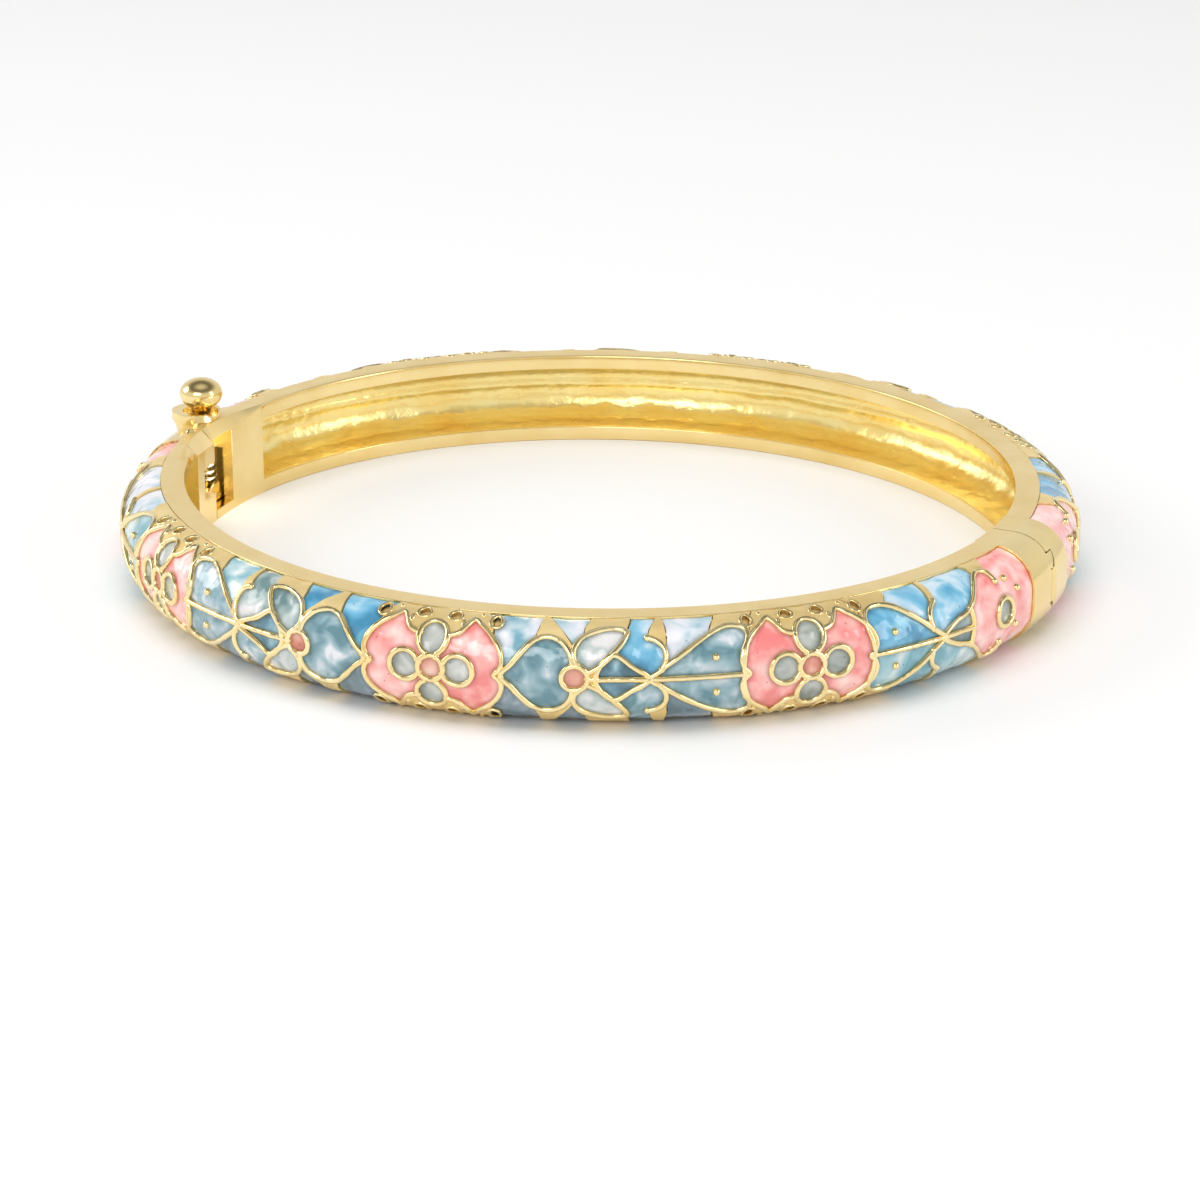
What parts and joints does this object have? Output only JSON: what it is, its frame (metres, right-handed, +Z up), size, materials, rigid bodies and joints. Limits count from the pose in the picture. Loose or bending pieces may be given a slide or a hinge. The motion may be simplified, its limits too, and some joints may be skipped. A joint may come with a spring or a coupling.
{
  "type": "hinged enamel bangle",
  "caption": "Oval hinged bangle with a domed flower-enamelled outside, hollow inside, pin hinge and push-pin clasp with a ball head.",
  "frame": {"origin": "middle of the band's oval, at the level of its lower rim", "axes": "+X from the middle to the hinge, -X to the clasp, -Y to the front half, +Y to the back half, +Z up along the wrist's axis"},
  "size_m": [0.0692, 0.0668, 0.01],
  "materials": {
    "gold_metal": "polished gold-plated brass",
    "spring_metal": "drawn wire",
    "pink_enamel": "glossy vitreous enamel",
    "blue_enamel": "glossy vitreous enamel",
    "grey_enamel": "glossy vitreous enamel",
    "coral_enamel": "glossy vitreous enamel"
  },
  "bodies": {
    "back": {"back_half": "gold_metal", "hinge_pin": "gold_metal", "clasp_spring": "spring_metal", "back_cloisons": "gold_metal", "back_pink_enamel": "pink_enamel", "back_blue_enamel": "blue_enamel", "back_grey_enamel": "grey_enamel", "back_coral_enamel": "coral_enamel"},
    "front": {"front_half": "gold_metal", "catch_hook": "gold_metal", "front_cloisons": "gold_metal", "front_pink_enamel": "pink_enamel", "front_blue_enamel": "blue_enamel", "front_grey_enamel": "grey_enamel", "front_coral_enamel": "coral_enamel"},
    "pin": {"push_pin": "gold_metal"}
  },
  "joints": [
    {"name": "hinge", "type": "hinge", "parent": "back", "child": "front", "pos_m": [0.0336, 0, 0.0035], "axis": [0, 0, 1], "range_deg": [0, 48]},
    {"name": "push", "type": "slide", "parent": "back", "child": "pin", "axis": [0, 0, -1], "range_m": [0, 0.00045], "stiffness_N_per_m": 250, "springref_m": -0.001, "deforming": ["clasp_spring"]}
  ]
}
